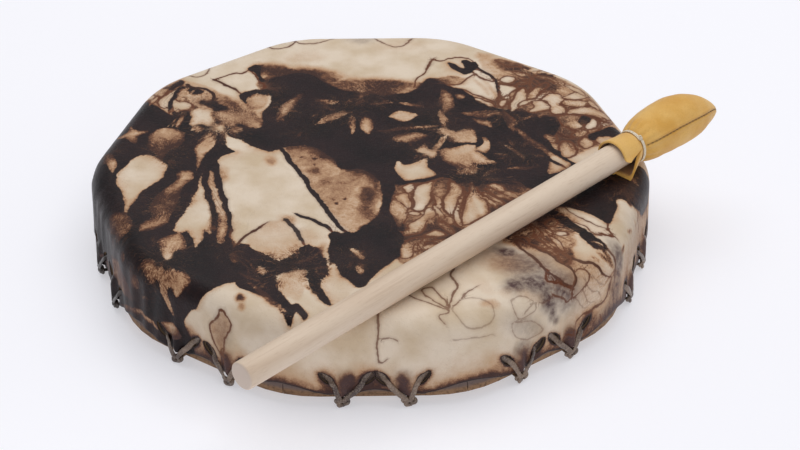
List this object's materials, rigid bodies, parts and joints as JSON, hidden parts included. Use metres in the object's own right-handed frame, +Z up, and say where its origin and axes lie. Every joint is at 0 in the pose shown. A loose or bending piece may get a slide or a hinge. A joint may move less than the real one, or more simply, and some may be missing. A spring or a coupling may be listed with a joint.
{
  "type": "ceremonial frame drum with beater",
  "caption": "Shallow many-sided wooden frame drum with a dyed rawhide head laced to a wrapped hold behind, and a leather-headed beater lying across it.",
  "frame": {"origin": "middle of the flat underside of the wrapped hand-hold behind the head, on the drum's axis, level with the lacing knots that the drum stands on", "axes": "+Z up along the drum's axis, out of the playing head; -Y out of the middle of the front side; +X to the right, at a corner of the frame"},
  "size_m": [0.3748, 0.3833, 0.0819],
  "materials": {
    "rawhide": "cream rawhide, dyed brown-black in tied patches, satin",
    "frame_wood": "brown board, open grain, unvarnished",
    "lacing": "grey-brown translucent rawhide thong",
    "hold_wrap": "wound rawhide thong",
    "dowel_wood": "pale bare wood, fine grain",
    "buckskin": "golden-yellow soft leather, matt",
    "sinew": "pale waxed sinew"
  },
  "bodies": {
    "root": {"drumhead_rawhide": "rawhide", "frame_stave_01": "frame_wood", "frame_stave_02": "frame_wood", "frame_stave_03": "frame_wood", "frame_stave_04": "frame_wood", "frame_stave_05": "frame_wood", "frame_stave_06": "frame_wood", "frame_stave_07": "frame_wood", "frame_stave_08": "frame_wood", "frame_stave_09": "frame_wood", "frame_stave_10": "frame_wood", "lace_01": "lacing", "lace_02": "lacing", "lace_03": "lacing", "lace_04": "lacing", "lace_05": "lacing", "lace_06": "lacing", "lace_07": "lacing", "lace_08": "lacing", "lace_09": "lacing", "lace_10": "lacing", "lace_11": "lacing", "lace_12": "lacing", "lace_13": "lacing", "lace_14": "lacing", "lace_15": "lacing", "lace_16": "lacing", "lace_17": "lacing", "lace_18": "lacing", "lace_19": "lacing", "lace_20": "lacing", "hand_hold": "hold_wrap", "beater_dowel": "dowel_wood", "beater_head": "buckskin", "beater_neck_tie": "sinew"}
  },
  "joints": []
}
